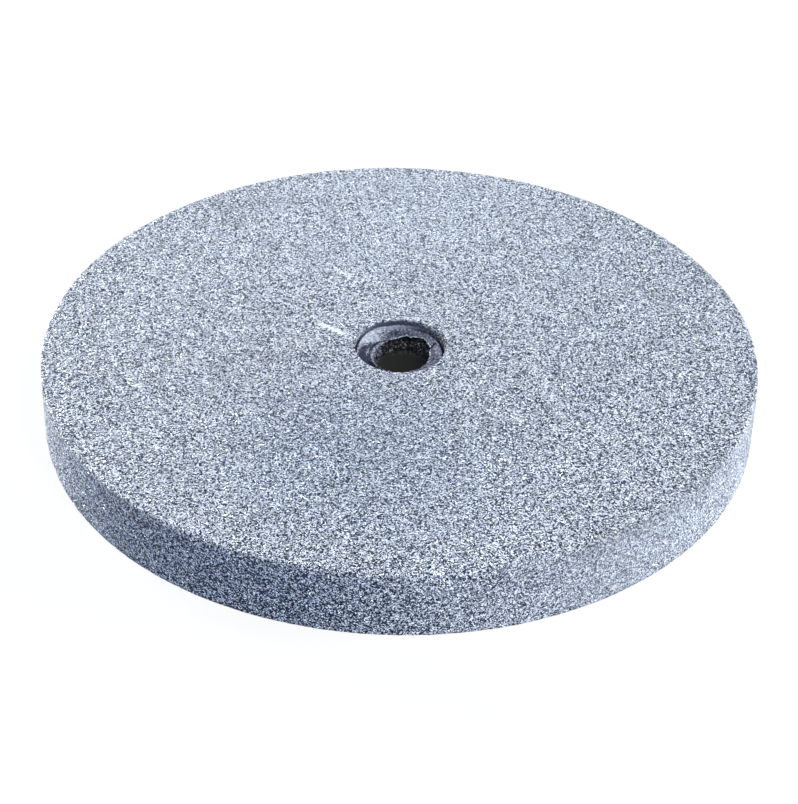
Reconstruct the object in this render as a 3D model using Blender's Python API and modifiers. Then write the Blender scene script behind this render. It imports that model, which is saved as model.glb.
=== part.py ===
"""A straight wheel for a bench grinder, lying flat as it would on a table.

The wheel is one moulded and fired disc of coarse bonded grit. The hole moulded through its middle is wider
than the grinder's spindle, so a bush is cast into it, a little below both faces, and the spindle's bore runs
through the bush. Units are metres. The origin is the middle of the wheel, and +Z is the axis it spins on.
"""

import math

import bmesh
import bpy

# The abrasive wheel
WHEEL_DIAMETER = 0.200
WHEEL_THICKNESS = 0.020
RIM_EDGE_RADIUS = 0.0010
MOUTH_EDGE_RADIUS = 0.0009

# The bush, and the hole that is moulded to take it
SPINDLE_BORE_DIAMETER = 0.016
BUSH_WALL = 0.0044
BUSH_SEAT_GAP = 0.0003
BUSH_RECESS = 0.0024
BUSH_SHOULDER_RADIUS = 0.0005
DISH_DEPTH = 0.0012
LIP_WIDTH = 0.0010
LIP_HEIGHT = 0.0004

# Where the casting climbs the wall of the hole at its upper end, in degrees round from +X
CLIMB_HEIGHT = 0.0012
CLIMB_BEARING = 148
CLIMB_SPREAD = 30

# Grains broken from the hole's upper mouth: degrees round from +X, then the radius of each scoop
MOUTH_CHIPS = (
    (4, 0.0011),
    (13, 0.0014),
    (21, 0.0012),
    (30, 0.0017),
    (39, 0.0014),
    (47, 0.0018),
    (57, 0.0013),
    (118, 0.0012),
    (247, 0.0011),
    (302, 0.0013),
)

# Pieces broken from the bush's upper lip, in the same way
LIP_BREAKS = (
    (36, 0.0015),
    (48, 0.0018),
    (62, 0.0017),
    (76, 0.0012),
)

# How finely the round forms are drawn
WHEEL_STEPS = 128
BUSH_STEPS = 64
EDGE_ARC_STEPS = 4
DISH_STEPS = 6
LIP_ARC_STEPS = 6
SCOOP_STEPS = 2

COLLECTION_NAME = "bench_grinding_wheel"
CUTTER_COLLECTION_NAME = "cutters"
SHARP_ANGLE = math.radians(40)
MERGE_DISTANCE = 0.00001

# Sizes that follow from the ones above
BORE_RADIUS = SPINDLE_BORE_DIAMETER / 2
BUSH_RADIUS = BORE_RADIUS + BUSH_WALL
HOLE_RADIUS = BUSH_RADIUS + BUSH_SEAT_GAP
RIM_RADIUS = WHEEL_DIAMETER / 2
FACE_HEIGHT = WHEEL_THICKNESS / 2
BUSH_END_HEIGHT = FACE_HEIGHT - BUSH_RECESS


def clear_scene():
    for old in list(bpy.data.objects):
        bpy.data.objects.remove(old, do_unlink=True)


def make_collection(name):
    collection = bpy.data.collections.new(name)
    bpy.context.scene.collection.children.link(collection)
    return collection


def make_material(name, color, roughness, metallic=0.0):
    material = bpy.data.materials.new(name)
    material.use_nodes = True
    shader = material.node_tree.nodes["Principled BSDF"]
    shader.inputs["Base Color"].default_value = (*color, 1.0)
    shader.inputs["Roughness"].default_value = roughness
    shader.inputs["Metallic"].default_value = metallic
    material.diffuse_color = (*color, 1.0)
    return material


def arc(center, radius, start_degrees, end_degrees, steps):
    """Points along an arc in the (r, z) plane, both ends included."""
    points = []
    for step in range(steps + 1):
        angle = math.radians(start_degrees + (end_degrees - start_degrees) * step / steps)
        points.append((center[0] + radius * math.cos(angle), center[1] + radius * math.sin(angle)))
    return points


def wheel_section():
    """The wheel's cut face: a bar from the hole to the rim, with its four corners worn round."""
    rim = RIM_RADIUS - RIM_EDGE_RADIUS
    rim_corner = FACE_HEIGHT - RIM_EDGE_RADIUS
    mouth = HOLE_RADIUS + MOUTH_EDGE_RADIUS
    mouth_corner = FACE_HEIGHT - MOUTH_EDGE_RADIUS
    section = arc((rim, rim_corner), RIM_EDGE_RADIUS, 90, 0, EDGE_ARC_STEPS)
    section += arc((rim, -rim_corner), RIM_EDGE_RADIUS, 0, -90, EDGE_ARC_STEPS)
    section += arc((mouth, -mouth_corner), MOUTH_EDGE_RADIUS, 270, 180, EDGE_ARC_STEPS)
    section += arc((mouth, mouth_corner), MOUTH_EDGE_RADIUS, 180, 90, EDGE_ARC_STEPS)
    return section


def bush_end_section():
    """The bush's upper end, from its outer shoulder in to the bore: a dish with a low lip round the bore."""
    shoulder = BUSH_RADIUS - BUSH_SHOULDER_RADIUS
    shoulder_height = BUSH_END_HEIGHT - BUSH_SHOULDER_RADIUS
    dish_floor = BUSH_END_HEIGHT - DISH_DEPTH
    lip_outside = BORE_RADIUS + LIP_WIDTH
    section = arc((shoulder, shoulder_height), BUSH_SHOULDER_RADIUS, 0, 90, EDGE_ARC_STEPS)
    for step in range(1, DISH_STEPS):
        share = step / DISH_STEPS
        fall = DISH_DEPTH * (1 - math.cos(math.pi * share)) / 2
        section.append((shoulder + (lip_outside - shoulder) * share, BUSH_END_HEIGHT - fall))
    for step in range(LIP_ARC_STEPS + 1):
        angle = math.pi * step / LIP_ARC_STEPS
        radius = BORE_RADIUS + LIP_WIDTH * (1 + math.cos(angle)) / 2
        section.append((radius, dish_floor + LIP_HEIGHT * math.sin(angle)))
    return section


def bush_section():
    """The bush's cut face, the same at both ends."""
    upper = bush_end_section()
    lower = [(r, -z) for r, z in upper]
    return upper[::-1] + lower


def turned(name, section, steps, material, collection):
    """Turn a closed section, given as (r, z) points that run down its outer side, once round the Z axis."""
    mesh = bpy.data.meshes.new(name)
    outline = bmesh.new()
    corners = [outline.verts.new((r, 0.0, z)) for r, z in section]
    for index, corner in enumerate(corners):
        outline.edges.new((corner, corners[(index + 1) % len(corners)]))
    outline.to_mesh(mesh)
    outline.free()
    piece = bpy.data.objects.new(name, mesh)
    collection.objects.link(piece)
    mesh.materials.append(material)
    screw = piece.modifiers.new("turn", "SCREW")
    screw.axis = "Z"
    screw.angle = math.tau
    screw.screw_offset = 0.0
    screw.steps = steps
    screw.render_steps = steps
    screw.use_merge_vertices = True
    screw.merge_threshold = MERGE_DISTANCE
    apply_modifiers(piece)
    return piece


def apply_modifiers(piece):
    """Give the piece the mesh that its modifiers make."""
    graph = bpy.context.evaluated_depsgraph_get()
    solid = bpy.data.meshes.new_from_object(piece.evaluated_get(graph))
    solid.name = piece.name
    piece.modifiers.clear()
    piece.data = solid


def shade_round(piece):
    piece.data.shade_smooth()
    piece.data.set_sharp_from_angle(angle=SHARP_ANGLE)


def break_edge(piece, scoops, radius, height, collection):
    """Take scoops out of the round edge of this radius and height, each at its own bearing."""
    for number, (bearing, scoop_radius) in enumerate(scoops, start=1):
        angle = math.radians(bearing)
        mesh = bpy.data.meshes.new(f"{piece.name}_scoop_{number}")
        ball = bmesh.new()
        bmesh.ops.create_icosphere(ball, subdivisions=SCOOP_STEPS, radius=scoop_radius)
        ball.to_mesh(mesh)
        ball.free()
        cutter = bpy.data.objects.new(mesh.name, mesh)
        cutter.location = (radius * math.cos(angle), radius * math.sin(angle), height)
        cutter.rotation_euler = (angle, 0.0, angle)
        cutter.display_type = "WIRE"
        cutter.hide_render = True
        collection.objects.link(cutter)
        cut = piece.modifiers.new(mesh.name, "BOOLEAN")
        cut.operation = "DIFFERENCE"
        cut.solver = "EXACT"
        cut.object = cutter
    bpy.context.view_layer.update()
    apply_modifiers(piece)


def climb_the_wall(bush):
    """Raise one side of the bush's upper end towards the wall, where the casting crept up it."""
    dish_inside = BORE_RADIUS + LIP_WIDTH
    for vertex in bush.data.vertices:
        radius = math.hypot(vertex.co.x, vertex.co.y)
        share = (radius - dish_inside) / (BUSH_RADIUS - dish_inside)
        if vertex.co.z < 0 or share <= 0:
            continue
        bearing = math.degrees(math.atan2(vertex.co.y, vertex.co.x))
        away = (bearing - CLIMB_BEARING + 180) % 360 - 180
        vertex.co.z += CLIMB_HEIGHT * share**2 * math.exp(-((away / CLIMB_SPREAD) ** 2))


def build_wheel(collection, cutters):
    grit = make_material("bonded_grit", (0.40, 0.46, 0.55), 0.9)
    wheel = turned("abrasive_wheel", wheel_section(), WHEEL_STEPS, grit, collection)
    break_edge(wheel, MOUTH_CHIPS, HOLE_RADIUS, FACE_HEIGHT, cutters)
    shade_round(wheel)


def build_bush(collection, cutters):
    cast = make_material("bush_cast", (0.52, 0.53, 0.62), 0.6)
    bush = turned("bore_bush", bush_section(), BUSH_STEPS, cast, collection)
    climb_the_wall(bush)
    lip_height = BUSH_END_HEIGHT - DISH_DEPTH + LIP_HEIGHT
    break_edge(bush, LIP_BREAKS, BORE_RADIUS, lip_height, cutters)
    shade_round(bush)


def main():
    clear_scene()
    collection = make_collection(COLLECTION_NAME)
    cutters = make_collection(CUTTER_COLLECTION_NAME)
    build_wheel(collection, cutters)
    build_bush(collection, cutters)


main()
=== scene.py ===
"""The looks of a bench grinding wheel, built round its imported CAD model.

The named lengths are in millimetres, apart from those of the camera, the lamps and the floor, which are in
metres, as the meshes are. A bearing is in degrees round from +X, counter-clockwise as seen from above, so 270
is the side nearest to the camera.
"""

import math

import bpy
import numpy as np
from mathutils import Matrix, Vector, noise


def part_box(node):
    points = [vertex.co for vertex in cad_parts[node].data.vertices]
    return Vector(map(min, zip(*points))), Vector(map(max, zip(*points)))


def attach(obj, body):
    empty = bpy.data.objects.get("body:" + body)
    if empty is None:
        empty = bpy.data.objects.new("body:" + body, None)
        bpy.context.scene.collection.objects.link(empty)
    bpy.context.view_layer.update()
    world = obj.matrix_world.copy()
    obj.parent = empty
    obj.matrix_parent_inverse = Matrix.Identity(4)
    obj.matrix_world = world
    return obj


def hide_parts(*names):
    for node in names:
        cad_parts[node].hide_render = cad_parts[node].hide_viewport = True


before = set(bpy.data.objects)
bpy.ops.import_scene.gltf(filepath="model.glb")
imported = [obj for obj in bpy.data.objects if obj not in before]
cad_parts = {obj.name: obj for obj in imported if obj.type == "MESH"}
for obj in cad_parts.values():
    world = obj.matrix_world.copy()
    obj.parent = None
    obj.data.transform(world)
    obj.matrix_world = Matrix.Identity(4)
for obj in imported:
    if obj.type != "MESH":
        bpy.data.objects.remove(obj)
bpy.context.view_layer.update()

MM = 0.001

# The wheel's worn edges and the roughness of its grit
RIM_ROUNDING = 0.6
HOLE_ROUNDING = 1.0
RIM_CRUMBLE = 0.16
FACE_RELIEF = 0.05
RIM_RELIEF = 0.08
WALL_RELIEF = 0.10
BROKEN_RELIEF = 0.75
EVEN_RELIEF = 0.62

# Smooth noise: the size of its features, its strength and its seed, which moves it by so much along each axis
SEED_SHIFT = (7.31, 3.77, 5.13)
FINE_RELIEF = (0.9, 0.55, 1)
COARSE_RELIEF = (3.1, 0.35, 2)
PITS = (0.62, 1.8, 3)
BROAD_MOTTLE = (11, 0.07, 4)
CLOSE_MOTTLE = (4.5, 0.05, 5)
CAST_LUMPS = (0.9, 1.0, 6)
CAST_GRAINS = (0.4, 0.7, 7)
LIP_CHIPS = (1.6, 1.0, 8)
LIP_NICKS = (0.7, 0.6, 9)
CRACK_WANDER = (0.6, 0.12, 10)
WRINKLE_FOLDS = (0.45, 2.2, 12)
SLATE_EDGES = (0.7, 0.2, 13)
STAIN_EDGES = (0.8, 1.0, 14)
WALL_CHIPS = (0.8, 2.0, 15)
FILM_STREAKS = (0.5, 0.2, 16)
STREAK_STRETCH = (0.2, 0.2, 1.0)
NOISE_RADIUS = 10

# The grit's grains: their size, how far their facets lean from the surface, and which of them glint. Where
# dust or chalk covers them they are duller and smoother.
GRAIN = 0.31
FACET_LEAN = 1.7
COVERED_LEAN = 0.4
GLINT_START = 0.7
GLINT_FULL = 0.8
DULL_ROUGHNESS = 0.6
GLINT_ROUGHNESS = 0.15
COVERED_ROUGHNESS = 0.7
GRIT_SPECULAR = 0.35
GRIT_SPECULAR_TINT = (0.76, 0.86, 1.00)

# How finely the wheel is drawn: the radii where the space between rings changes, those spaces, and how far
# the points of a ring are shuffled along it, as a share of the space between them
SEGMENTS = 1024
INNER_ZONE = 32
OUTER_ZONE = 64
HOLE_ZONE = 20
UPPER_STEPS = (0.5, 0.8, 1.1, 1.5)
LOWER_STEPS = (1.5, 2.0, 2.4, 2.6)
BAND_STEPS = 14
CORNER_STEPS = 4
SHUFFLE_SEED = 11
SHUFFLE = 0.25

# The hole's wall and its upper mouth: how wide and how deep the mouth is worn, by bearing, the part of it
# that is broken, with painted shade in its pits and where the grit sinks into the hole, and the slate and the
# film that show on the wall, the slate darkened with painted shade
WALL_RADIUS = 12.58
MOUTH_WIDTH = (
    (0, 0.8), (20, 1.2), (45, 1.3), (62, 0.9), (100, 1.0), (130, 0.9),
    (150, 0.5), (185, 0.25), (215, 0.4), (250, 0.7), (285, 1.0), (320, 0.9),
)
MOUTH_DEPTH = (
    (0, 0.6), (25, 0.9), (50, 0.9), (70, 0.6), (120, 0.7), (160, 0.35), (200, 0.3), (270, 0.8), (320, 0.8),
)
MOUTH_REACH = 1.6
MOUTH_STEPS = 7
MOUTH_FOOT = 0.95
SEEN_WALL_DEPTH = 3.2
SEEN_WALL_STEP = 0.25
HIDDEN_WALL_STEP = 6
BROKEN_WALL = (26, 34)
BROKEN_REACH = 1.9
BROKEN_FADE = 2
BESIDE_HOLE = WALL_RADIUS + 2 * BROKEN_REACH
BROKEN_FLOOR = (6.4, 7.4)
PIT_SHARE = 0.3
# painted shade in the broken pits of the mouth
PIT_PAINTED_SHADE = 0.85
# Painted shade where the grit sinks into the hole's mouth: its strength, its reach past the wall, its fade
# and the depths where it comes in
SUNK_PAINTED_SHADE = 0.45
SUNK_REACH = 1.2
SUNK_FADE = 0.6
SUNK_DEPTH = (0.3, 0.8)
WALL_LEFT = 0.35
SLATE_EDGE = 0.1
SLATE_SHARE = (
    (0, 0.5), (15, 0.8), (60, 1.0), (75, 1.0), (125, 1.0), (145, 0.8), (165, 0.3), (185, 0.0), (330, 0.2),
)
SLATE_START = (0.08, 0.3)
FILM_SHARE = ((60, 0.0), (75, 0.45), (90, 1.0), (130, 1.0), (150, 0.6), (170, 0.0))
FILM_START = (1.5, 1.75)

# The casting in the hole, by bearing: depths are below the wheel's upper face, and shares run from the lip of
# the bore, 0, to the outer edge, 1. The upper edge fills the gap that the solids leave at the hole's wall.
BUSH_SEGMENTS = 360
EDGE_DEPTH = (
    (0, 2.3), (30, 2.4), (62, 2.4), (80, 2.4), (102, 2.4), (117, 1.9),
    (135, 1.15), (160, 0.9), (180, 1.15), (205, 1.8), (235, 2.3), (300, 2.4),
)
LIP_RADIUS = (
    (0, 8.3), (13, 8.6), (28, 9.3), (50, 9.7), (76, 9.0), (92, 8.6),
    (110, 8.3), (124, 7.6), (150, 7.45), (185, 7.55), (215, 7.9), (270, 8.0), (340, 8.2),
)
LIP_DEPTH = (
    (0, 3.3), (15, 3.0), (30, 2.7), (60, 2.7), (80, 3.1), (100, 3.5), (140, 3.6), (270, 3.6), (330, 3.5),
)
LIP_RISE = ((0, 0.1), (60, 0.12), (100, 0.2), (130, 0.35), (190, 0.4), (240, 0.3), (300, 0.1))
LIP_SHARE = 0.12
GROOVE_DEPTH = ((0, 0.1), (70, 0.15), (110, 0.4), (180, 0.6), (215, 0.6), (260, 0.2), (310, 0.1))
GROOVE_SHARE = 0.34
BUMP_SHARE = 0.12
DISH_CURVE = 1.35
EDGE_FILL = 0.2
LIP_RAGGED = 0.22
BROKEN_LIP = (70, 40)
BROKEN_LIP_RAGGED = 0.9
CREVICE = ((8, 28), (163, 24))
CREVICE_WIDTH = 0.65
BORE_RADIUS = 8.0
BORE_SEEN_DEPTH = 9.0
BORE_FLARE = 1.6
BORE_STEP = 0.8
VOID_REACH = 0.7
VOID_SHARE = 0.16
VOID_FADE = 12
PORE_RELIEF = 0.6
PORE_FADE_UP = 8
PORE_FADE_DOWN = 4
BULGE = (163, 48)
BULGE_REACH = 0.35
BULGE_SHARE = (-0.4, 1.6)
BULGE_RAGGED = 0.25
# dirt and painted shade on the bulge's inner face
BULGE_SHADE_AND_DIRT = 0.36
EDGE_ROUNDING = 0.4
LIP_ROUNDING = 0.45
SMOOTHING = 9
BUSH_SIDE_STEPS = 8
BUSH_END_STEPS = 30
BORE_STEPS = 40
LOWER_DISH_STEPS = 10
LOWER_DISH_DEPTH = 1.2
CAST_RELIEF = 0.10
CAST_EVEN = 0.5
EDGE_RELIEF = 0.05
LOWER_EDGE_RELIEF = 0.03
LOWER_LIP_RELIEF = 0.06
CRACK = ((8.0, 2.2), (9.9, 5.2))
CRACK_WIDTH = 0.19
CRACK_DEPTH = 0.45
# dirt and painted shade in the crack
CRACK_SHADE_AND_DIRT = 1.3
WRINKLES = (345, 34, 10.8, 1.8)
WRINKLE_RELIEF = 0.22
# dirt and painted shade in the wrinkles
WRINKLE_SHADE_AND_DIRT = 0.75
WRINKLE_STRETCH = 0.12
DUST_PATCH = (99, 24, 10.4, 1.5)
# Dirt and painted shade on the casting's upper end, by bearing: the radius of the dark band that runs along
# the groove, its width and its share
DIRT_AND_SHADE_RADIUS = (
    (100, 7.9), (115, 8.2), (137, 8.75), (153, 8.95), (163, 9.7), (175, 10.4),
    (188, 10.5), (205, 10.2), (240, 9.6), (270, 9.0), (300, 8.8),
)
DIRT_AND_SHADE_WIDTH = (
    (100, 0.3), (115, 0.45), (140, 0.65), (155, 0.85), (170, 1.1),
    (185, 1.3), (205, 2.0), (240, 1.9), (270, 1.1), (300, 0.5),
)
DIRT_AND_SHADE_SHARE = (
    (90, 0.0), (105, 0.7), (120, 1.0), (165, 1.0), (187, 1.25),
    (240, 1.25), (280, 1.0), (300, 0.5), (318, 0.0),
)
DIRT_AND_SHADE_MOST = 1.3
# Painted light on the left of the casting's upper end: its bearing and spread, the radius where it starts,
# how softly, and its least share nearer the lip
LIT_SIDE_END = (150, 70)
LIT_SIDE_START = 8.1
LIT_SIDE_FADE = 0.8
LIT_SIDE_LEAST = 0.4
FLASH = (
    (0, 0.7), (20, 0.95), (45, 0.7), (75, 0.35), (100, 0.45), (118, 0.35), (135, 0.2), (155, 0.22),
    (185, 0.25), (205, 0.1), (225, 0.0), (300, 0.0), (330, 0.2), (350, 0.5),
)
FLASH_WIDTH = 0.22
FLASH_OFFSET = 0.12
FLASH_DROP = 0.4
FLASH_STRENGTH = 1.2
STAIN_RAGGED = 0.4
POROUS_START = (-0.15, 0.1)
SPECKS_START = (0.9, 2.0)
# Painted shade deep in the bore: the depths where it starts and ends, the radius past which it stops, and how
# much deeper it starts on the bulge
BORE_SHADE_START = (7.2, 7.7)
BORE_SHADE_END = (15.0, 17.0)
BORE_SHADE_REACH = (8.7, 9.1)
BORE_SHADE_BELOW_BULGE = 2.0

# Where the photograph was taken from: metres from the middle of the wheel's upper face, degrees, and the lens
# and sensor in millimetres
CAMERA_DISTANCE = 0.64659
CAMERA_ELEVATION = 34.294
CAMERA_PAN = 0.004
CAMERA_TILT = 1.406
CAMERA_ROLL = 1.129
CAMERA_LENS = 103.15
SENSOR = 36
CLIP_START = 0.01

# The light from all round, the lamps (bearing, elevation, metres away, metres wide and level), and the floor
# with the shadow on it
AMBIENT = (0.085, 0.137, 0.235)
LAMPS = (
    ("right_lamp", 357, 16, 1.1, 0.5, 1.46),
    ("back_left_lamp", 145, 10, 0.8, 0.35, 2.30),
    ("front_lamp", 300, 52, 1.0, 0.2, 0.45),
    ("low_front_lamp", 266, 8, 1.2, 0.15, 0.45),
)
FLOOR_SIZE = 6.0
FLOOR_BOUNCE = (0.15, 0.19, 0.29)
FLOOR_COLOR = (0.95, 0.95, 0.95)
SHADOW_SHARE = 0.10
SHADOW_REACH = (0.14, 0.40)

# The grit's colours, from its darkest grains to its palest
GRIT_COLORS = (
    (0.00, (0.003, 0.010, 0.034)),
    (0.345, (0.009, 0.027, 0.092)),
    (0.385, (0.614, 0.696, 0.836)),
    (1.00, (0.950, 0.985, 1.000)),
)

# Soft clouds on the upper face: the middle of each, its reach, and how much it lightens or darkens. They and
# the patches of grime and dust lie above these heights.
CLOUDS_ABOVE = 8.5
PATCHES_ABOVE = 9.4
CLOUDS = (
    ((-60, 40), 38, 0.07),
    ((5, 82), 48, 0.20),
    ((60, 30), 30, 0.04),
    ((-36, -10), 20, -0.05),
    ((24, -90), 22, 0.10),
)

# The upper face is a little darker along its edge, by bearing, from the first of these radii to the second
EDGE_SHADE = ((0, 0.0), (285, 0.0), (300, 0.05), (322, 0.08), (344, 0.09), (358, 0.0))
EDGE_SHADE_START = (91, 96)

# Patches on the upper face: the middle of each, its reach and its share
FACE_GRIME = ((-12, -50), 32, 0.58)
FACE_DUST = ((0, 95), 75, 0.30)

# The rim: how far inside the wheel's radius it starts, and by bearing the painted shade that gives its grains
# darker colours where it lies in shade, the pale dust on it, the painted light and shade that make it paler
# or darker, and a darker band at its top. Then the colours of grimy grit, also used as painted shade on the
# rim, and of the dust.
RIM_EDGE = (-1.0, -0.4)
# Painted shade: by bearing, how fully the rim's grains take the darker colours below where the rim lies in
# shade
RIM_PAINTED_SHADE = (
    (0, 0.0), (202, 0.0), (209, 0.46), (217, 0.82), (229, 0.97), (244, 1.0),
    (256, 0.9), (266, 0.5), (280, 0.14), (294, 0.06), (306, 0.0),
)
PAINTED_SHADE_DEPTH = (0.4, 1.8)
# Painted light and shade: how much paler or darker the rim is made, by bearing
RIM_PAINTED_LIGHT_AND_SHADE = (
    (0, 0.0), (200, 0.04), (208, -0.08), (216, -0.12), (226, 0.0), (244, -0.05), (254, -0.03), (262, 0.05),
    (274, 0.12), (282, 0.0), (292, -0.02), (302, -0.08), (311, 0.0), (322, -0.02), (330, 0.09), (340, 0.19),
    (350, 0.03),
)
RIM_BAND = ((0, 0.0), (282, 0.0), (294, 0.12), (305, 0.20), (325, 0.19), (335, 0.08), (343, 0.0))
RIM_BAND_DEPTH = (2.0, 4.5)
RIM_DUST = (
    (0, 0.5), (90, 0.6), (170, 0.6), (190, 0.1), (200, 0.0), (262, 0.0), (276, 0.15),
    (290, 0.45), (302, 0.78), (315, 0.72), (325, 0.45), (336, 0.45), (346, 0.6),
)
# Grimy grit on the upper face, and the same colours as painted shade on the rim's shaded side
GRIME_AND_SHADE_COLORS = (
    (0.00, (0.003, 0.007, 0.028)),
    (0.46, (0.010, 0.024, 0.085)),
    (0.52, (0.365, 0.470, 0.720)),
    (1.00, (0.820, 0.930, 1.000)),
)
DUST_COLOR = (0.240, 0.266, 0.305)
DUST_COVER = 0.66

# Chalky scratches on the upper face: from, to, half their width and how thickly the chalk lies. Then the
# colours of the hole's rubbed wall, near black with painted shade, and of the film on it.
SCRATCHES = (
    ((-22.6, 10.0), (-15.8, 5.5), 1.9, 1.06),
    ((-19.0, 39.0), (-14.9, 35.4), 1.9, 0.88),
)
CHALK_PATCHES = 1.0
CHALK_SPECKS = 0.7
CHALK_NOISE = {"Scale": 1.4, "Detail": 3.0}
CHALK_START = (0.3, 0.85)
SLATE_AND_SHADE = (0.024, 0.032, 0.062)
FILM = (0.34, 0.385, 0.49)
CHALK = (0.80, 0.86, 0.90)
CHALK_COVER = 0.86
WALL_SPECKLE = 0.35

# The casting's colours, grey, or paler where light is painted on its upper end, and what lies on it: where a
# stain starts to show and where it is full
CAST_GREY = ((0.34, (0.10, 0.11, 0.165)), (0.5, (0.25, 0.26, 0.35)), (0.66, (0.49, 0.50, 0.61)))
CAST_LIT_SIDE = ((0.34, (0.27, 0.30, 0.38)), (0.5, (0.44, 0.48, 0.57)), (0.66, (0.62, 0.66, 0.74)))
CAST_CHALK = (0.88, 0.90, 0.97)
# dirt and painted shade on the casting
CAST_DIRT_AND_SHADE = (0.018, 0.023, 0.042)
CAST_DUST = (0.060, 0.072, 0.105)
# The bore's porous upper wall: specks of its pores, most of them near black with painted shade, and the
# near-black painted shade between them
SHADED_PORE_SPECKS = (
    (0.00, (0.008, 0.009, 0.014)),
    (0.66, (0.030, 0.032, 0.040)),
    (0.88, (0.110, 0.115, 0.125)),
    (0.97, (0.520, 0.545, 0.520)),
)
POROUS_SHADE_DARK = (0.006, 0.007, 0.012)
# near-black painted shade deep in the bore
BORE_SHADE_COLOR = (0.044, 0.044, 0.041)
CAST_MOTTLE = {"Scale": 1.3, "Detail": 6.0, "Roughness": 0.72}
MOTTLE_SPREAD = 1.4
CHANCE_SPREAD = 0.9
DIRT_AND_SHADE_START = (0.2, 0.75)
DUST_SPECKS = (0.8, -0.72)
DUST_START = (0.05, 0.35)
FLASH_START = (0.3, 0.7)
PORES_START = (0.3, 0.6)
SAND_GRAIN = 0.38
SAND_SHADES = (0.35, 1.25)
SAND_SHARE = 0.3
LIT_SIDE_SAND_SHARE = 0.3
SAND_LEAN = 1.1
LIT_SIDE_CALM = 0.5
CAST_ROUGHNESS = 0.65
CAST_SPECULAR = 0.2


def around(knots, bearings):
    """A smooth value for each bearing, from a few (bearing, value) knots round the circle."""
    degrees = np.arange(360)
    rough = np.interp(degrees, [k[0] for k in knots], [k[1] for k in knots], period=360)
    window = np.hanning(2 * SMOOTHING + 1)
    window /= window.sum()
    padded = np.concatenate([rough[-SMOOTHING:], rough, rough[:SMOOTHING]])
    smooth = np.convolve(padded, window, mode="valid")
    return np.interp(bearings % 360, degrees, smooth, period=360)


def near(bearings, middle, spread):
    """1 at the middle bearing, falling softly to 0 beyond the spread."""
    away = (bearings - middle + 180) % 360 - 180
    return np.exp(-((away / spread) ** 2))


def between(values, ends):
    """0 up to the first of two ends, 1 from the second on, and even between."""
    return np.clip((values - ends[0]) / (ends[1] - ends[0]), 0, 1)


def bearings_of(points):
    """The bearing of each point, in degrees."""
    return np.degrees(np.arctan2(points[:, 1], points[:, 0]))


def radii_of(points):
    """How far each point is from the Z axis."""
    return np.hypot(points[:, 0], points[:, 1])


def grain_noise(points, kind):
    """Smooth noise at each point: kind gives the size of its features, its strength and its seed."""
    size, strength, seed = kind
    shift = Vector([seed * step for step in SEED_SHIFT])
    return strength * np.array([noise.noise(Vector(point) / size + shift) for point in points])


def stepped(start, end, step):
    """Values from start to end, evenly spaced at about this step, without the first one."""
    count = max(1, round(abs(end - start) / step))
    return [start + (end - start) * number / count for number in range(1, count + 1)]


class Ring:
    """One ring of points round the Z axis: radius and height may vary with the bearing."""

    def __init__(self, segments, radius, height, relief):
        self.bearings = np.arange(segments) * 360 / segments
        self.radius = self.spread(radius)
        self.height = self.spread(height)
        self.relief = relief

    def spread(self, value):
        """A number, or a function of the bearing, as one number for each point of the ring."""
        if callable(value):
            value = value(self.bearings)
        return np.broadcast_to(value, len(self.bearings)).astype(float)

    def points(self):
        """The ring's points, before any relief."""
        angles = np.radians(self.bearings)
        return np.stack([self.radius * np.cos(angles), self.radius * np.sin(angles), self.height], axis=1)


def bridge(first, first_count, second, second_count):
    """Faces between two rings of points, where one may have twice as many points as the other."""
    faces = []
    if first_count == second_count:
        for i in range(first_count):
            j = (i + 1) % first_count
            faces.append((first + i, second + i, second + j, first + j))
    elif second_count == 2 * first_count:
        for i in range(first_count):
            j = (i + 1) % first_count
            left, middle, right = 2 * i, 2 * i + 1, (2 * i + 2) % second_count
            faces.append((first + i, second + left, second + middle))
            faces.append((first + i, second + middle, first + j))
            faces.append((first + j, second + middle, second + right))
    else:
        for i in range(second_count):
            j = (i + 1) % second_count
            left, middle, right = 2 * i, 2 * i + 1, (2 * i + 2) % first_count
            faces.append((first + left, second + i, first + middle))
            faces.append((first + middle, second + i, second + j))
            faces.append((first + middle, second + j, first + right))
    return faces


def outward(rings):
    """For each ring, the direction out of the solid in the (r, z) plane."""
    middles = np.array([(ring.radius.mean(), ring.height.mean()) for ring in rings])
    along = np.roll(middles, -1, axis=0) - np.roll(middles, 1, axis=0)
    normals = np.stack([-along[:, 1], along[:, 0]], axis=1)
    return normals / np.linalg.norm(normals, axis=1)[:, None]


def ring_solid(name, rings, points):
    """A closed solid through rings that run out over its top, down its outside and back up its inside."""
    mesh = bpy.data.meshes.new(name)
    counts = [len(ring.bearings) for ring in rings]
    starts = np.cumsum([0] + counts).tolist()
    faces = []
    for index, count in enumerate(counts):
        following = (index + 1) % len(rings)
        faces += bridge(starts[index], count, starts[following], counts[following])
    mesh.from_pydata((np.concatenate(points) * MM).tolist(), [], faces)
    mesh.shade_smooth()
    mesh.update()
    piece = bpy.data.objects.new(name, mesh)
    bpy.context.scene.collection.objects.link(piece)
    return piece


def set_field(piece, name, values):
    """Keep one number for each point of the mesh, for a material to read."""
    attribute = piece.data.attributes.new(name, "FLOAT", "POINT")
    attribute.data.foreach_set("value", np.asarray(values, dtype=np.float32))


def sink(points, depth, normal):
    """Move a ring's points into the solid by this depth, and return the directions out from the Z axis."""
    out = points[:, :2] / np.linalg.norm(points[:, :2], axis=1)[:, None]
    points[:, :2] -= out * (depth * normal[0])[:, None]
    points[:, 2] -= depth * normal[1]
    return out


# The wheel


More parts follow.
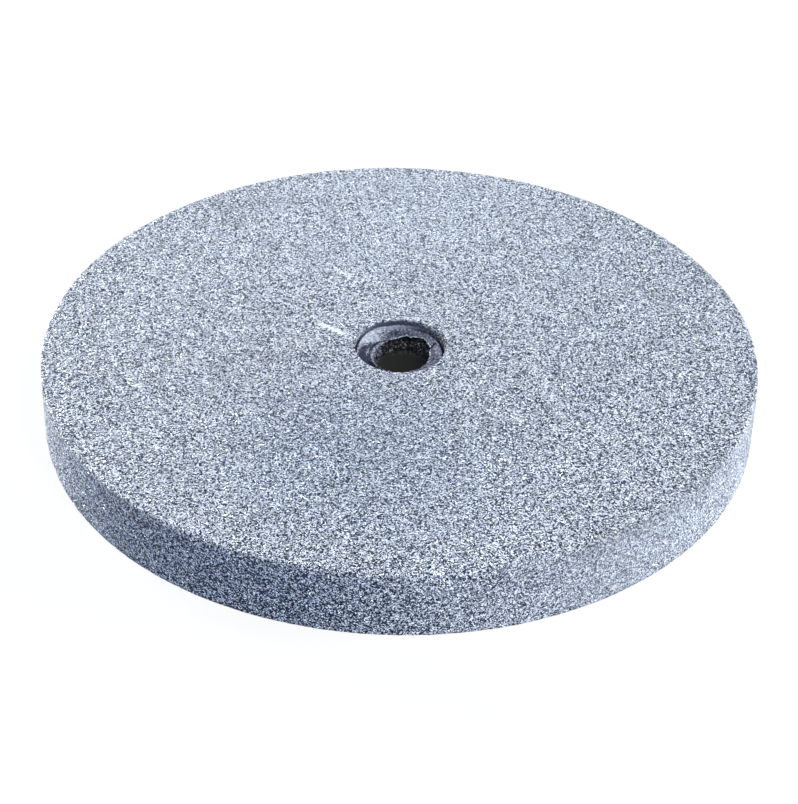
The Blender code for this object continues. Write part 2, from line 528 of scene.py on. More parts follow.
def corner_rings(segments, radius, height, rounding, start, end, steps, relief):
    """Rings round a worn corner, whose section is an arc about (radius, height)."""
    rings = []
    for step in range(steps + 1):
        angle = math.radians(start + (end - start) * step / steps)
        across = radius + rounding * math.cos(angle)
        up = height + rounding * math.sin(angle)
        rings.append(Ring(segments, across, up, relief))
    return rings


def face_rings(inside, outside, height, steps, zones):
    """Rings across a flat face, from the inside out, without the two that bound it."""
    edges = (inside, HOLE_ZONE, INNER_ZONE, OUTER_ZONE, outside)
    rings = []
    for zone, step in enumerate(steps):
        for radius in stepped(edges[zone], edges[zone + 1], step):
            rings.append(Ring(zones[zone], radius, height, FACE_RELIEF))
    return rings[:-1]


def upper_mouth_rings(segments, face):
    """Rings from the hole's wall up over its worn upper mouth to the face."""
    rings = []
    for step in range(MOUTH_STEPS + 1):
        angle = math.pi / 2 * step / MOUTH_STEPS
        reach = 1 - math.cos(angle)
        rise = 1 - math.sin(angle)
        rings.append(
            Ring(
                segments,
                lambda bearings, reach=reach: WALL_RADIUS + around(MOUTH_WIDTH, bearings) * reach,
                lambda bearings, rise=rise: face - around(MOUTH_DEPTH, bearings) * rise,
                WALL_RELIEF,
            )
        )
    return rings


def wheel_rings(rim, face):
    """The wheel's rings, from the upper mouth out, down the rim, in below and up the hole's wall."""
    flat = rim - RIM_ROUNDING
    corner = face - RIM_ROUNDING
    inner, middle, outer = SEGMENTS // 4, SEGMENTS // 2, SEGMENTS
    mouth_reach = WALL_RADIUS + MOUTH_REACH
    rings = upper_mouth_rings(middle, face)
    rings += face_rings(mouth_reach, flat, face, UPPER_STEPS, (middle, inner, middle, outer))
    rings += corner_rings(outer, flat, corner, RIM_ROUNDING, 90, 0, CORNER_STEPS, RIM_CRUMBLE)
    for height in stepped(corner, -corner, 2 * corner / BAND_STEPS)[:-1]:
        rings.append(Ring(outer, rim, height, RIM_RELIEF))
    rings += corner_rings(outer, flat, -corner, RIM_ROUNDING, 0, -90, CORNER_STEPS, RIM_CRUMBLE)
    rings += face_rings(mouth_reach, flat, -face, LOWER_STEPS, (inner, inner, inner, middle))[::-1]
    lower = WALL_RADIUS + HOLE_ROUNDING
    foot = HOLE_ROUNDING - face
    rings += corner_rings(inner, lower, foot, HOLE_ROUNDING, 270, 180, CORNER_STEPS, WALL_RELIEF)
    seen = face - SEEN_WALL_DEPTH
    for height in stepped(foot, seen, HIDDEN_WALL_STEP)[:-1]:
        rings.append(Ring(inner, WALL_RADIUS, height, 0.0))
    for height in stepped(seen, face - MOUTH_FOOT, SEEN_WALL_STEP)[:-1]:
        rings.append(Ring(middle, WALL_RADIUS, height, WALL_RELIEF))
    return rings


def relief(ring, points):
    """How far broken and worn grit lies below the ring's true surface."""
    rough = EVEN_RELIEF + grain_noise(points, FINE_RELIEF) + grain_noise(points, COARSE_RELIEF)
    depth = ring.relief * rough
    if ring.radius.mean() < BESIDE_HOLE:
        depth = depth + BROKEN_RELIEF * broken_mouth(points) * pits(points)
    return np.clip(depth, 0, None)


def pits(points):
    """1 where grains have broken out of the hole's upper mouth, and 0 where they stand."""
    return np.clip(grain_noise(points, PITS) + PIT_SHARE, 0, 1)


def broken_mouth(points):
    """1 on the broken part of the hole's upper mouth and the wall below it, falling softly to 0 round it."""
    past = np.clip((radii_of(points) - WALL_RADIUS) / BROKEN_REACH, 0, None)
    shallow = between(points[:, 2], BROKEN_FLOOR)
    return near(bearings_of(points), *BROKEN_WALL) * np.exp(-(past**2) * BROKEN_FADE) * shallow


def build_wheel(material):
    """The wheel of bonded grit, in place of its CAD node."""
    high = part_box("abrasive_wheel")[1]
    rim = high.x / MM
    face = high.z / MM
    rings = wheel_rings(rim, face)
    shuffle = np.random.default_rng(SHUFFLE_SEED)
    points = []
    for ring, normal in zip(rings, outward(rings)):
        placed = ring.points()
        out = sink(placed, relief(ring, placed), normal)
        spacing = 2 * math.pi * ring.radius / len(ring.bearings)
        slide = shuffle.uniform(-SHUFFLE, SHUFFLE, len(spacing)) * spacing
        placed[:, 0] -= out[:, 1] * slide
        placed[:, 1] += out[:, 0] * slide
        points.append(placed)
    wheel = ring_solid("wheel", rings, points)
    wheel.data.materials.append(material)
    for name, values in wheel_fields(np.concatenate(points), rim, face).items():
        set_field(wheel, name, values)
    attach(wheel, "root")
    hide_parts("abrasive_wheel")
    return wheel


def on_rim(points, rim):
    """1 on the rim, and 0 on the faces."""
    return between(radii_of(points) - rim, RIM_EDGE)


def face_patch(points, middle, reach, share, above):
    """This share at the middle of a patch of the upper face, falling softly, and 0 below this height."""
    away = np.hypot(points[:, 0] - middle[0], points[:, 1] - middle[1]) / reach
    return np.where(points[:, 2] > above, share * np.exp(-(away**2)), 0)


def wheel_fields(points, rim, face):
    """What the grit's material reads at each point: its tone with painted light and shade, what lies on it,
    and painted shade on the rim and the hole's wall.
    """
    bearings = bearings_of(points)
    rim_share = on_rim(points, rim)
    below_corner = rim_share * between(face - points[:, 2], PAINTED_SHADE_DEPTH)
    face_dust = face_patch(points, *FACE_DUST, PATCHES_ABOVE)
    slate_and_shade, film = wall_fields(points, face)
    return {
        "tone": wheel_tone(points, rim, face),
        "slate_and_shade": slate_and_shade,
        "film": film,
        # grime on the upper face, and painted shade on the rim's shaded side
        "grime_and_shade": face_patch(points, *FACE_GRIME, PATCHES_ABOVE) + below_corner * around(RIM_PAINTED_SHADE, bearings),
        "dusty": np.maximum(face_dust, rim_share * around(RIM_DUST, bearings)),
    }


def wheel_tone(points, rim, face):
    """How light the grit is at each point, about 1, with painted light and shade on the rim and painted shade
    in the hole's mouth and its broken pits.
    """
    bearings = bearings_of(points)
    radius = radii_of(points)
    depth = face - points[:, 2]
    upper = points[:, 2] > 0
    rim_share = on_rim(points, rim)
    tone = np.ones(len(points))
    for cloud in CLOUDS:
        tone += face_patch(points, *cloud, CLOUDS_ABOVE)
    tone += grain_noise(points, BROAD_MOTTLE)
    tone += grain_noise(points, CLOSE_MOTTLE)
    # painted shade where the grit sinks into the hole's mouth
    inside = np.clip((WALL_RADIUS + SUNK_REACH - radius) / SUNK_FADE, 0, 1) * upper
    tone *= 1 - SUNK_PAINTED_SHADE * inside * between(depth, SUNK_DEPTH)
    # painted light and shade on the rim by bearing, less a darker band at its top
    band = around(RIM_BAND, bearings) * (1 - between(depth, RIM_BAND_DEPTH))
    tone *= 1 + rim_share * (around(RIM_PAINTED_LIGHT_AND_SHADE, bearings) - band)
    near_edge = between(radius, EDGE_SHADE_START) * (1 - rim_share) * upper
    tone *= 1 - around(EDGE_SHADE, bearings) * near_edge
    # painted shade in the pits of the broken mouth
    beside = radius < BESIDE_HOLE
    tone[beside] *= 1 - PIT_PAINTED_SHADE * broken_mouth(points[beside]) * pits(points[beside])
    return tone


def wall_fields(points, face):
    """How much of the hole's rubbed, slate wall, darkened with painted shade, shows at each point, and of the
    casting's thin film on it.
    """
    bearings = bearings_of(points)
    depth = face - points[:, 2]
    reach = WALL_RADIUS + around(MOUTH_WIDTH, bearings) + SLATE_EDGE
    inside = np.clip((reach - radii_of(points)) / (2 * SLATE_EDGE), 0, 1) * (points[:, 2] > 0)
    ragged = grain_noise(points, SLATE_EDGES)
    broken = np.clip(1 + broken_mouth(points) * (grain_noise(points, WALL_CHIPS) - WALL_LEFT), 0, 1)
    slate_and_shade = inside * between(depth + ragged, SLATE_START) * around(SLATE_SHARE, bearings) * broken
    streaks = grain_noise(points * STREAK_STRETCH, FILM_STREAKS)
    film = around(FILM_SHARE, bearings) * between(depth + ragged + streaks, FILM_START)
    return slate_and_shade, film


# The casting


def bush_profiles(face, outside):
    """The casting's upper edge and the lip of its bore, each as functions of the bearing."""

    def edge_height(bearings):
        return face - around(EDGE_DEPTH, bearings)

    def edge_radius(bearings):
        gap = sum(near(bearings, middle, spread) for middle, spread in CREVICE)
        return outside + EDGE_FILL - CREVICE_WIDTH * np.clip(gap, 0, 1)

    def lip_height(bearings):
        return face - around(LIP_DEPTH, bearings)

    def lip_radius(bearings):
        angles = np.radians(bearings)
        circle = NOISE_RADIUS * np.stack([np.cos(angles), np.sin(angles), 0 * angles], axis=1)
        ragged = LIP_RAGGED + BROKEN_LIP_RAGGED * near(bearings, *BROKEN_LIP)
        chips = grain_noise(circle, LIP_CHIPS) + grain_noise(circle, LIP_NICKS)
        return around(LIP_RADIUS, bearings) + ragged * chips

    return edge_height, edge_radius, lip_height, lip_radius


def hump(share, middle, width):
    """1 at the middle share, falling softly to 0 beyond the width."""
    return math.exp(-(((share - middle) / width) ** 2))


def upper_end_ring(share, profiles):
    """A ring across the casting's dished upper end: share is 0 at the lip and 1 at the outer edge."""
    edge_height, edge_radius, lip_height, lip_radius = profiles
    rise = share**DISH_CURVE

    def radius(bearings):
        inside = lip_radius(bearings)
        return inside + (edge_radius(bearings) - EDGE_ROUNDING - inside) * share

    def height(bearings):
        lip = around(LIP_RISE, bearings) * hump(share, LIP_SHARE, BUMP_SHARE)
        groove = around(GROOVE_DEPTH, bearings) * hump(share, GROOVE_SHARE, BUMP_SHARE)
        return lip_height(bearings) + (edge_height(bearings) - lip_height(bearings)) * rise + lip - groove

    return Ring(BUSH_SEGMENTS, radius, height, CAST_RELIEF)


def bore_ring(share, profiles, foot):
    """A ring of the bore's broken upper part: share is 0 at its foot and 1 at the lip."""
    _, _, lip_height, lip_radius = profiles
    below = 1 - share

    def radius(bearings):
        void = VOID_REACH * near(bearings, *BROKEN_LIP) * hump(below, VOID_SHARE, VOID_SHARE)
        bulge = BULGE_REACH * near(bearings, *BULGE) * math.sin(math.pi * share) ** 2
        flare = (lip_radius(bearings) - BORE_RADIUS) * share**BORE_FLARE
        return BORE_RADIUS + flare + void * min(1, below * VOID_FADE) - bulge

    def height(bearings):
        return foot + (lip_height(bearings) - foot) * share

    pores = PORE_RELIEF * min(1, below * PORE_FADE_UP) * min(1, share * PORE_FADE_DOWN)
    return Ring(BUSH_SEGMENTS, radius, height, pores + EDGE_RELIEF)


def bush_rings(outside, face, foot):
    """The casting's rings, from the lip of its bore out over its upper end, down its side and up its bore."""
    profiles = bush_profiles(face, outside)
    edge_height, edge_radius, _, _ = profiles
    rings = [upper_end_ring(step / BUSH_END_STEPS, profiles) for step in range(BUSH_END_STEPS + 1)]
    for step in range(1, CORNER_STEPS + 1):
        angle = math.pi / 2 * step / CORNER_STEPS
        inset = EDGE_ROUNDING * (1 - math.sin(angle))
        drop = EDGE_ROUNDING * (1 - math.cos(angle))
        rings.append(
            Ring(
                BUSH_SEGMENTS,
                lambda b, inset=inset: edge_radius(b) - inset,
                lambda b, drop=drop: edge_height(b) - drop,
                EDGE_RELIEF,
            )
        )
    lower_edge = foot + EDGE_ROUNDING
    for step in range(1, BUSH_SIDE_STEPS):
        share = step / BUSH_SIDE_STEPS
        rings.append(
            Ring(
                BUSH_SEGMENTS,
                lambda b, share=share: edge_radius(b) * (1 - share) + outside * share,
                lambda b, share=share: (edge_height(b) - EDGE_ROUNDING) * (1 - share) + lower_edge * share,
                0.0,
            )
        )
    flat = outside - EDGE_ROUNDING
    rings += corner_rings(
        BUSH_SEGMENTS, flat, lower_edge, EDGE_ROUNDING, 0, -90, CORNER_STEPS, LOWER_EDGE_RELIEF
    )
    lip_middle = BORE_RADIUS + LIP_ROUNDING
    for step in range(1, LOWER_DISH_STEPS):
        share = step / LOWER_DISH_STEPS
        dish = LOWER_DISH_DEPTH * (1 - math.cos(math.pi * share)) / 2
        rings.append(Ring(BUSH_SEGMENTS, flat + (lip_middle - flat) * share, foot + dish, CAST_RELIEF))
    lip_foot = foot + LOWER_DISH_DEPTH + LIP_ROUNDING
    rings += corner_rings(
        BUSH_SEGMENTS, lip_middle, lip_foot, LIP_ROUNDING, -90, -180, CORNER_STEPS, LOWER_LIP_RELIEF
    )
    seen_foot = face - BORE_SEEN_DEPTH
    for height in stepped(lip_foot, seen_foot, BORE_STEP):
        rings.append(Ring(BUSH_SEGMENTS, BORE_RADIUS, height, CAST_RELIEF))
    rings += [bore_ring(step / BORE_STEPS, profiles, seen_foot) for step in range(1, BORE_STEPS)]
    return rings


def crack_nearness(points):
    """1 on the line of the crack in the casting's upper end, falling to 0 beside it."""
    start, end = np.array(CRACK[0]), np.array(CRACK[1])
    along = end - start
    share = np.clip((points[:, :2] - start) @ along / (along @ along), 0, 1)
    away = np.linalg.norm(points[:, :2] - start - share[:, None] * along, axis=1)
    away = away + grain_noise(points, CRACK_WANDER)
    return np.exp(-((away / CRACK_WIDTH) ** 2)) * (points[:, 2] > 0)


def wrinkles(points):
    """How deep the fine wrinkles that cross the casting's upper end are at each point, up to 1."""
    angles = np.radians(bearings_of(points))
    along = WRINKLE_STRETCH * radii_of(points)
    rolled = np.stack([NOISE_RADIUS * np.cos(angles), NOISE_RADIUS * np.sin(angles), along], axis=1)
    return patch(points, *WRINKLES) * np.clip(grain_noise(rolled, WRINKLE_FOLDS), 0, 1)


def patch(points, middle, spread, radius, width):
    """1 at a bearing and radius of the upper end, falling softly round them."""
    across = (radii_of(points) - radius) / width
    return near(bearings_of(points), middle, spread) * np.exp(-(across**2)) * (points[:, 2] > 0)


def build_bush(material):
    """The casting that lines the hole, in place of its CAD node."""
    low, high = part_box("bore_bush")
    outside = high.x / MM
    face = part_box("abrasive_wheel")[1].z / MM
    foot = low.z / MM
    rings = bush_rings(outside, face, foot)
    points = []
    for ring, normal in zip(rings, outward(rings)):
        placed = ring.points()
        rough = CAST_EVEN + grain_noise(placed, CAST_LUMPS) + grain_noise(placed, CAST_GRAINS)
        depth = ring.relief * rough + WRINKLE_RELIEF * wrinkles(placed)
        if ring.relief == CAST_RELIEF:
            depth = depth + CRACK_DEPTH * crack_nearness(placed)
        sink(placed, depth, normal)
        points.append(placed)
    bush = ring_solid("bush", rings, points)
    bush.data.materials.append(material)
    for name, values in bush_fields(np.concatenate(points), face, outside).items():
        set_field(bush, name, values)
    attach(bush, "root")
    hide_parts("bore_bush")
    return bush


def bush_fields(points, face, outside):
    """What covers the casting at each point, with the light and shade painted on it: painted shade deep in
    its bore, pores and specks in its bore under painted shade, dirt and painted shade and dust on its end,
    and painted light on the end's left part.
    """
    bearings = bearings_of(points)
    radius = radii_of(points)
    depth = face - points[:, 2]
    upper = points[:, 2] > 0
    _, _, lip_height, lip_radius = bush_profiles(face, outside)
    below = depth - (face - lip_height(bearings))
    ragged = grain_noise(points, STAIN_EDGES)
    deep = depth + STAIN_RAGGED * ragged
    inside = np.arange(len(points)) >= len(points) - (BORE_STEPS - 1) * BUSH_SEGMENTS
    steady, gain = BULGE_SHARE
    bulge = np.clip(gain * near(bearings, *BULGE) + steady + BULGE_RAGGED * ragged, 0, 1)
    # painted shade deep in the bore, starting deeper on the bulge
    painted_bore_shade = between(deep - BORE_SHADE_BELOW_BULGE * bulge, BORE_SHADE_START)
    painted_bore_shade = painted_bore_shade * (1 - between(deep, BORE_SHADE_END)) * (1 - between(radius, BORE_SHADE_REACH))
    crack = crack_nearness(points)
    past_lip = (radius - lip_radius(bearings) - FLASH_OFFSET) / FLASH_WIDTH
    flash = np.exp(-(past_lip**2)) * (below < FLASH_DROP) * around(FLASH, bearings)
    across = (radius - around(DIRT_AND_SHADE_RADIUS, bearings)) / around(DIRT_AND_SHADE_WIDTH, bearings)
    dirt_and_shade = around(DIRT_AND_SHADE_SHARE, bearings) * np.exp(-(across**2)) * upper
    dirt_and_shade = dirt_and_shade + CRACK_SHADE_AND_DIRT * crack + WRINKLE_SHADE_AND_DIRT * wrinkles(points) + BULGE_SHADE_AND_DIRT * inside * bulge
    painted_lit_side = near(bearings, *LIT_SIDE_END) * np.clip((radius - LIT_SIDE_START) / LIT_SIDE_FADE, LIT_SIDE_LEAST, 1) * upper
    return {
        "painted_bore_shade": painted_bore_shade,
        # pores in the bore's upper wall, under painted shade
        "porous_and_shade": inside * (1 - bulge) * between(below, POROUS_START),
        "specks": between(below + STAIN_RAGGED * ragged, SPECKS_START),
        "flash": np.clip(FLASH_STRENGTH * flash * (1 - crack), 0, 1),
        "dirt_and_shade": np.clip(dirt_and_shade, 0, DIRT_AND_SHADE_MOST),
        "dust": np.clip(patch(points, *DUST_PATCH), 0, 1),
        "painted_lit_side": painted_lit_side,
    }


# Materials


def node(tree, kind, values=None, **settings):
    """Add a node, set it up, and join or fill its inputs."""
    made = tree.nodes.new(kind)
    for name, value in settings.items():
        setattr(made, name, value)
    for socket, value in (values or {}).items():
        if isinstance(value, bpy.types.NodeSocket):
            tree.links.new(value, made.inputs[socket])
        else:
            made.inputs[socket].default_value = value
    return made


def new_material(name):
    """A new material, with its nodes and its shader."""
    material = bpy.data.materials.new(name)
    material.use_nodes = True
    tree = material.node_tree
    return material, tree, tree.nodes["Principled BSDF"]


def math_node(tree, operation, first, second=0.0, third=0.0):
    """The result of a sum on numbers or sockets."""
    return node(tree, "ShaderNodeMath", {0: first, 1: second, 2: third}, operation=operation).outputs[0]


def centred(tree, value, spread):
    """A value from 0 to 1, spread as wide as this about 0."""
    return math_node(tree, "MULTIPLY_ADD", value, spread, -spread / 2)


def soft_share(tree, value, start, end):
    """0 up to the start, 1 from the end on, and smooth between."""
    made = node(tree, "ShaderNodeMapRange", {0: value, 1: start, 2: end}, interpolation_type="SMOOTHSTEP")
    return made.outputs[0]


def blend_numbers(tree, share, first, second):
    """The first number where the share is 0, and the second where it is 1."""
    return node(tree, "ShaderNodeMix", {0: share, 2: first, 3: second}).outputs[0]


def mix_colors(tree, share, first, second, blend="MIX"):
    """Two colours, or sockets that give them, mixed by this share."""
    made = node(tree, "ShaderNodeMix", data_type="RGBA", blend_type=blend)
    for socket, value in ((0, share), (6, first), (7, second)):
        if isinstance(value, bpy.types.NodeSocket):
            tree.links.new(value, made.inputs[socket])
        elif socket == 0:
            made.inputs[socket].default_value = value
        else:
            made.inputs[socket].default_value = (*value, 1.0)
    return made.outputs[2]


def grey_color(tree, value):
    """A grey as light as this value."""
    return node(tree, "ShaderNodeCombineColor", {0: value, 1: value, 2: value}).outputs[0]


def shaded(tree, color, value):
    """A colour made as light or dark as this value."""
    return mix_colors(tree, 1.0, color, grey_color(tree, value), "MULTIPLY")


def color_ramp(tree, value, stops):
    """A colour that runs through these stops as the value grows."""
    made = node(tree, "ShaderNodeValToRGB", {0: value})
    ramp = made.color_ramp
    while len(ramp.elements) < len(stops):
        ramp.elements.new(1.0)
    for element, (position, color) in zip(ramp.elements, stops):
        element.position = position
        element.color = (*color, 1.0)
    return made.outputs["Color"]


def millimetres(tree):
    """The place on the piece, in millimetres."""
    place = node(tree, "ShaderNodeTexCoord").outputs["Object"]
    return node(tree, "ShaderNodeVectorMath", {0: place, "Scale": 1 / MM}, operation="SCALE").outputs[0]


def field(tree, name):
    """A number that set_field kept at each point."""
    return node(tree, "ShaderNodeAttribute", attribute_name=name).outputs["Fac"]


def grains(tree, place, size):
    """Packed grains of this size: a random number for each, and the place of its middle."""
    cells = node(tree, "ShaderNodeTexVoronoi", {"Vector": place, "Scale": 1 / size})
    random = node(tree, "ShaderNodeSeparateColor", {0: cells.outputs["Color"]}).outputs[0]
    return random, cells.outputs["Position"]


def vectors(tree, operation, first, second=None, scale=None, result="Vector"):
    """The result of a sum on vectors."""
    values = {0: first}
    if second is not None:
        values[1] = second
    if scale is not None:
        values["Scale"] = scale
    return node(tree, "ShaderNodeVectorMath", values, operation=operation).outputs[result]


def facets(tree, middle, lean):
    """A surface direction for each grain, leaning at random from the surface that the grains make up."""
    chance = node(tree, "ShaderNodeTexWhiteNoise", {"Vector": middle}).outputs["Color"]
    away = vectors(tree, "SCALE", vectors(tree, "SUBTRACT", chance, (0.5, 0.5, 0.5)), scale=lean)
    flat = node(tree, "ShaderNodeNewGeometry").outputs["Normal"]
    return vectors(tree, "NORMALIZE", vectors(tree, "ADD", flat, away))


def stroke(tree, place, start, end, half_width):
    """1 along a straight stroke over the upper face, falling to 0 at its sides."""
    start = Vector((*start, 0))
    along = Vector((*end, 0)) - start
    flat = vectors(tree, "MULTIPLY", place, (1, 1, 0))
    offset = vectors(tree, "SUBTRACT", flat, tuple(start))
    share = vectors(tree, "DOT_PRODUCT", offset, tuple(along / along.length_squared), result="Value")
    share = math_node(tree, "MINIMUM", math_node(tree, "MAXIMUM", share, 0.0), 1.0)
    nearest = vectors(tree, "SCALE", tuple(along), scale=share)
    away = vectors(tree, "DISTANCE", offset, nearest, result="Value")
    return soft_share(tree, away, half_width, 0.0)


def chalk_marks(tree, place, chance):
    """How much chalk lies on the upper face, in the scratches and broken up along them."""
    chalk = 0.0
    for start, end, half_width, thickness in SCRATCHES:
        line = math_node(tree, "MULTIPLY", stroke(tree, place, start, end, half_width), thickness)
        chalk = math_node(tree, "MAXIMUM", line, chalk)
    patchy = node(tree, "ShaderNodeTexNoise", {"Vector": place, **CHALK_NOISE}).outputs["Fac"]
    chalk = math_node(tree, "ADD", chalk, centred(tree, patchy, CHALK_PATCHES))
    chalk = math_node(tree, "ADD", chalk, centred(tree, chance, CHALK_SPECKS))
    chalk = soft_share(tree, chalk, *CHALK_START)
    upper = node(tree, "ShaderNodeSeparateXYZ", {0: place}).outputs["Z"]
    upper = math_node(tree, "MULTIPLY", math_node(tree, "GREATER_THAN", upper, 0.0), CHALK_COVER)
    return math_node(tree, "MULTIPLY", chalk, upper)


def grit_material():
    """Bonded grit: grains with colours and facets of their own, what lies on them, and painted shade on the
    rim and the hole's wall.
    """
    material, tree, shader = new_material("bonded_grit_surface")
    place = millimetres(tree)
    chance, middle = grains(tree, place, GRAIN)
    grime_and_shade = field(tree, "grime_and_shade")
    dusty = math_node(tree, "MULTIPLY", field(tree, "dusty"), DUST_COVER)
    clean = color_ramp(tree, chance, GRIT_COLORS)
    # grimy colours, which are also painted shade on the rim
    color = mix_colors(tree, grime_and_shade, clean, color_ramp(tree, chance, GRIME_AND_SHADE_COLORS))
    color = mix_colors(tree, dusty, color, DUST_COLOR)
    color = shaded(tree, color, field(tree, "tone"))
    chalk = chalk_marks(tree, place, chance)
    color = mix_colors(tree, chalk, color, CHALK)
    # the hole's wall: slate darkened with painted shade, with the casting's film on it
    slate_and_shade = field(tree, "slate_and_shade")
    wall = mix_colors(tree, field(tree, "film"), SLATE_AND_SHADE, FILM)
    wall = mix_colors(tree, WALL_SPECKLE, wall, shaded(tree, wall, chance))
    color = mix_colors(tree, slate_and_shade, color, wall)
    tree.links.new(color, shader.inputs["Base Color"])
    gloss = {0: chance, 1: GLINT_START, 2: GLINT_FULL, 3: DULL_ROUGHNESS, 4: GLINT_ROUGHNESS}
    covered = math_node(tree, "MAXIMUM", math_node(tree, "MAXIMUM", chalk, slate_and_shade), dusty)
    roughness = node(tree, "ShaderNodeMapRange", gloss).outputs[0]
    roughness = blend_numbers(tree, covered, roughness, COVERED_ROUGHNESS)
    tree.links.new(roughness, shader.inputs["Roughness"])
    shader.inputs["Specular IOR Level"].default_value = GRIT_SPECULAR
    shader.inputs["Specular Tint"].default_value = (*GRIT_SPECULAR_TINT, 1)
    lean = blend_numbers(tree, covered, 2 * FACET_LEAN, COVERED_LEAN)
    tree.links.new(facets(tree, middle, lean), shader.inputs["Normal"])
    return material


def cast_material():
    """The casting: mottled and sandy and paler where light is painted on, with dirt, dust, a chalky edge and
    dark pores on it, and painted shade in its groove, its pores and deep in its bore.
    """
    material, tree, shader = new_material("bush_cast_surface")
    place = millimetres(tree)
    mottle = node(tree, "ShaderNodeTexNoise", {"Vector": place, **CAST_MOTTLE}).outputs["Fac"]
    chance, middle = grains(tree, place, SAND_GRAIN)
    painted_lit_side = field(tree, "painted_lit_side")
    # painted light: the left of the upper end takes the paler colours
    color = mix_colors(tree, painted_lit_side, color_ramp(tree, mottle, CAST_GREY), color_ramp(tree, mottle, CAST_LIT_SIDE))
    sand = node(tree, "ShaderNodeMapRange", {0: chance, 3: SAND_SHADES[0], 4: SAND_SHADES[1]}).outputs[0]
    sandy = math_node(tree, "MULTIPLY_ADD", painted_lit_side, LIT_SIDE_SAND_SHARE, SAND_SHARE)
    color = shaded(tree, color, blend_numbers(tree, sandy, 1.0, sand))
    ragged = centred(tree, mottle, MOTTLE_SPREAD)
    grainy = centred(tree, chance, CHANCE_SPREAD)
    # dirt, and painted shade in the groove, the crack and the wrinkles
    dirt_and_shade = math_node(tree, "ADD", field(tree, "dirt_and_shade"), math_node(tree, "ADD", ragged, grainy))
    color = mix_colors(tree, soft_share(tree, dirt_and_shade, *DIRT_AND_SHADE_START), color, CAST_DIRT_AND_SHADE)
    specks = math_node(tree, "MULTIPLY_ADD", chance, *DUST_SPECKS)
    dust = math_node(tree, "ADD", field(tree, "dust"), specks)
    color = mix_colors(tree, soft_share(tree, dust, *DUST_START), color, CAST_DUST)
    flash = math_node(tree, "ADD", field(tree, "flash"), ragged)
    color = mix_colors(tree, soft_share(tree, flash, *FLASH_START), color, CAST_CHALK)
    # the porous upper bore: pale specks on near-black painted shade
    pores = mix_colors(tree, field(tree, "specks"), POROUS_SHADE_DARK, color_ramp(tree, chance, SHADED_PORE_SPECKS))
    porous_and_shade = math_node(tree, "ADD", field(tree, "porous_and_shade"), ragged)
    color = mix_colors(tree, soft_share(tree, porous_and_shade, *PORES_START), color, pores)
    # deep in the bore the colour gives way to painted shade
    painted_bore_shade = field(tree, "painted_bore_shade")
    color = mix_colors(tree, painted_bore_shade, color, BORE_SHADE_COLOR)
    tree.links.new(color, shader.inputs["Base Color"])
    shader.inputs["Roughness"].default_value = CAST_ROUGHNESS
    shader.inputs["Specular IOR Level"].default_value = CAST_SPECULAR
    bare = math_node(tree, "MULTIPLY", math_node(tree, "SUBTRACT", 1.0, painted_bore_shade), 2 * SAND_LEAN)
    lean = math_node(tree, "MULTIPLY", bare, math_node(tree, "MULTIPLY_ADD", painted_lit_side, -LIT_SIDE_CALM, 1.0))
    tree.links.new(facets(tree, middle, lean), shader.inputs["Normal"])
    return material


# The stage


def camera_axes():
    """The camera's place and its own X, Y and Z axes."""
    rise = math.radians(CAMERA_ELEVATION)
    place = Vector((0, -math.cos(rise), math.sin(rise))) * CAMERA_DISTANCE
    ahead = -place.normalized()
    right = Vector((1, 0, 0))
    up = right.cross(ahead)
    pan = math.radians(CAMERA_PAN)
    panned = ahead * math.cos(pan) + right * math.sin(pan)
    right = right * math.cos(pan) - ahead * math.sin(pan)
    tilt = math.radians(CAMERA_TILT)
    aimed = panned * math.cos(tilt) - up * math.sin(tilt)
    up = up * math.cos(tilt) + panned * math.sin(tilt)
    roll = math.radians(CAMERA_ROLL)
    turned_right = right * math.cos(roll) + up * math.sin(roll)
    turned_up = -right * math.sin(roll) + up * math.cos(roll)
    return place, turned_right, turned_up, -aimed


def add_camera():
    """The camera, at the photograph's viewing angle."""
    data = bpy.data.cameras.new("camera")
    data.lens = CAMERA_LENS
    data.sensor_width = SENSOR
    data.clip_start = CLIP_START
    camera = bpy.data.objects.new("camera", data)
    place, right, up, back = camera_axes()
    turn = Matrix((right, up, back)).transposed().to_4x4()
    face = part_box("abrasive_wheel")[1].z
    camera.matrix_world = Matrix.Translation(place + Vector((0, 0, face))) @ turn
    bpy.context.scene.collection.objects.link(camera)
    bpy.context.scene.camera = camera


def add_lamp(name, bearing, elevation, distance, size, level):
    """A soft round lamp aimed at the wheel, which lights a surface that faces it to this level."""
    data = bpy.data.lights.new(name, "AREA")
    data.shape = "DISK"
    data.size = size
    data.energy = level * math.pi**2 * distance**2
    lamp = bpy.data.objects.new(name, data)
    across = math.radians(bearing)
    rise = math.radians(elevation)
    toward = Vector((math.cos(across) * math.cos(rise), math.sin(across) * math.cos(rise), math.sin(rise)))
    lamp.location = toward * distance
    lamp.rotation_euler = toward.to_track_quat("Z", "Y").to_euler()
    bpy.context.scene.collection.objects.link(lamp)


def add_world():
    """A white background, and an even light from all round."""
    world = bpy.data.worlds.new("world")
    world.use_nodes = True
    tree = world.node_tree
    tree.nodes.clear()
    seen = seen_directly(tree)
    color = mix_colors(tree, seen, AMBIENT, (1, 1, 1))
    background = node(tree, "ShaderNodeBackground", {"Color": color, "Strength": 1.0})
    output = node(tree, "ShaderNodeOutputWorld")
    tree.links.new(background.outputs[0], output.inputs["Surface"])
    bpy.context.scene.world = world


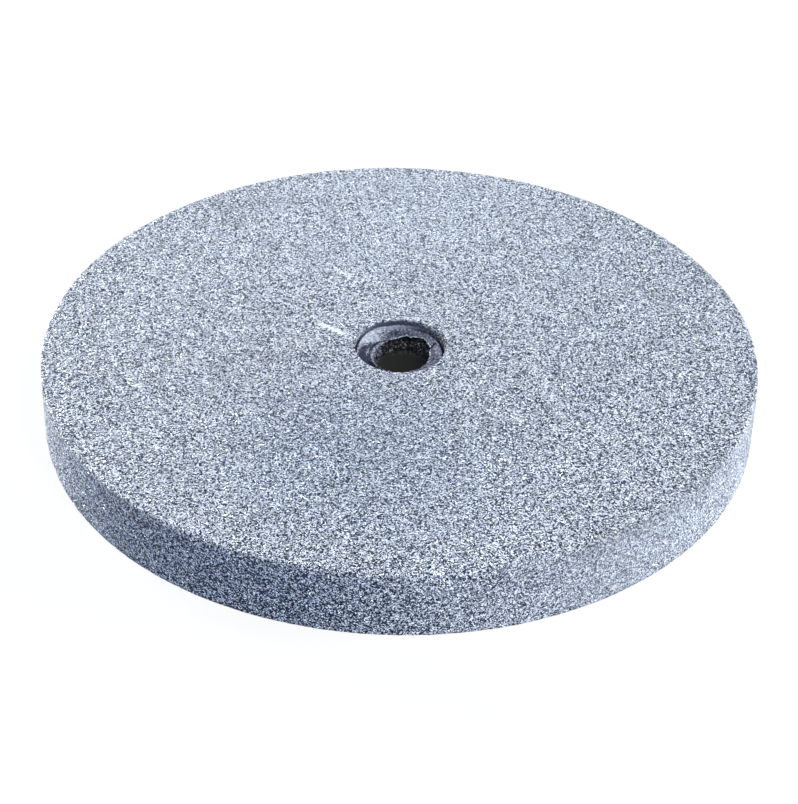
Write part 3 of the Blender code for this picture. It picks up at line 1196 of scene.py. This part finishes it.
def seen_directly(tree):
    """1 where the camera sees the surface, also in a mirror or through glass, and otherwise 0."""
    path = node(tree, "ShaderNodeLightPath")
    mirrored = math_node(tree, "MAXIMUM", path.outputs["Is Glossy Ray"], path.outputs["Is Transmission Ray"])
    return math_node(tree, "MAXIMUM", path.outputs["Is Camera Ray"], mirrored)


def floor_material():
    """White with the object's shadow where the camera sees it, and dimmer in the light it throws back."""
    material = bpy.data.materials.new("floor_surface")
    material.use_nodes = True
    tree = material.node_tree
    tree.nodes.clear()
    place = node(tree, "ShaderNodeTexCoord").outputs["Object"]
    away = node(tree, "ShaderNodeVectorMath", {0: place}, operation="LENGTH").outputs["Value"]
    fading = {0: away, 1: SHADOW_REACH[0], 2: SHADOW_REACH[1], 3: SHADOW_SHARE, 4: 0.0}
    share = node(tree, "ShaderNodeMapRange", fading, interpolation_type="SMOOTHSTEP").outputs[0]
    glow = node(tree, "ShaderNodeEmission", {"Color": (1, 1, 1, 1), "Strength": 1.0})
    shadowed = node(tree, "ShaderNodeBsdfDiffuse", {"Color": (*FLOOR_COLOR, 1)})
    shown = node(tree, "ShaderNodeMixShader", {0: share, 1: glow.outputs[0], 2: shadowed.outputs[0]})
    bounce = node(tree, "ShaderNodeBsdfDiffuse", {"Color": (*FLOOR_BOUNCE, 1)})
    seen = seen_directly(tree)
    choice = node(tree, "ShaderNodeMixShader", {0: seen, 1: bounce.outputs[0], 2: shown.outputs[0]})
    output = node(tree, "ShaderNodeOutputMaterial")
    tree.links.new(choice.outputs[0], output.inputs["Surface"])
    return material


def add_floor():
    """The floor under the wheel, which isn't part of the object."""
    mesh = bpy.data.meshes.new("floor")
    half = FLOOR_SIZE / 2
    corners = [(-half, -half, 0), (half, -half, 0), (half, half, 0), (-half, half, 0)]
    mesh.from_pydata(corners, [], [(0, 1, 2, 3)])
    mesh.materials.append(floor_material())
    floor = bpy.data.objects.new("floor", mesh)
    floor.location.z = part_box("abrasive_wheel")[0].z
    bpy.context.scene.collection.objects.link(floor)


bpy.context.scene.view_settings.view_transform = "Standard"
add_camera()
add_world()
add_floor()
for lamp in LAMPS:
    add_lamp(*lamp)
build_wheel(grit_material())
build_bush(cast_material())
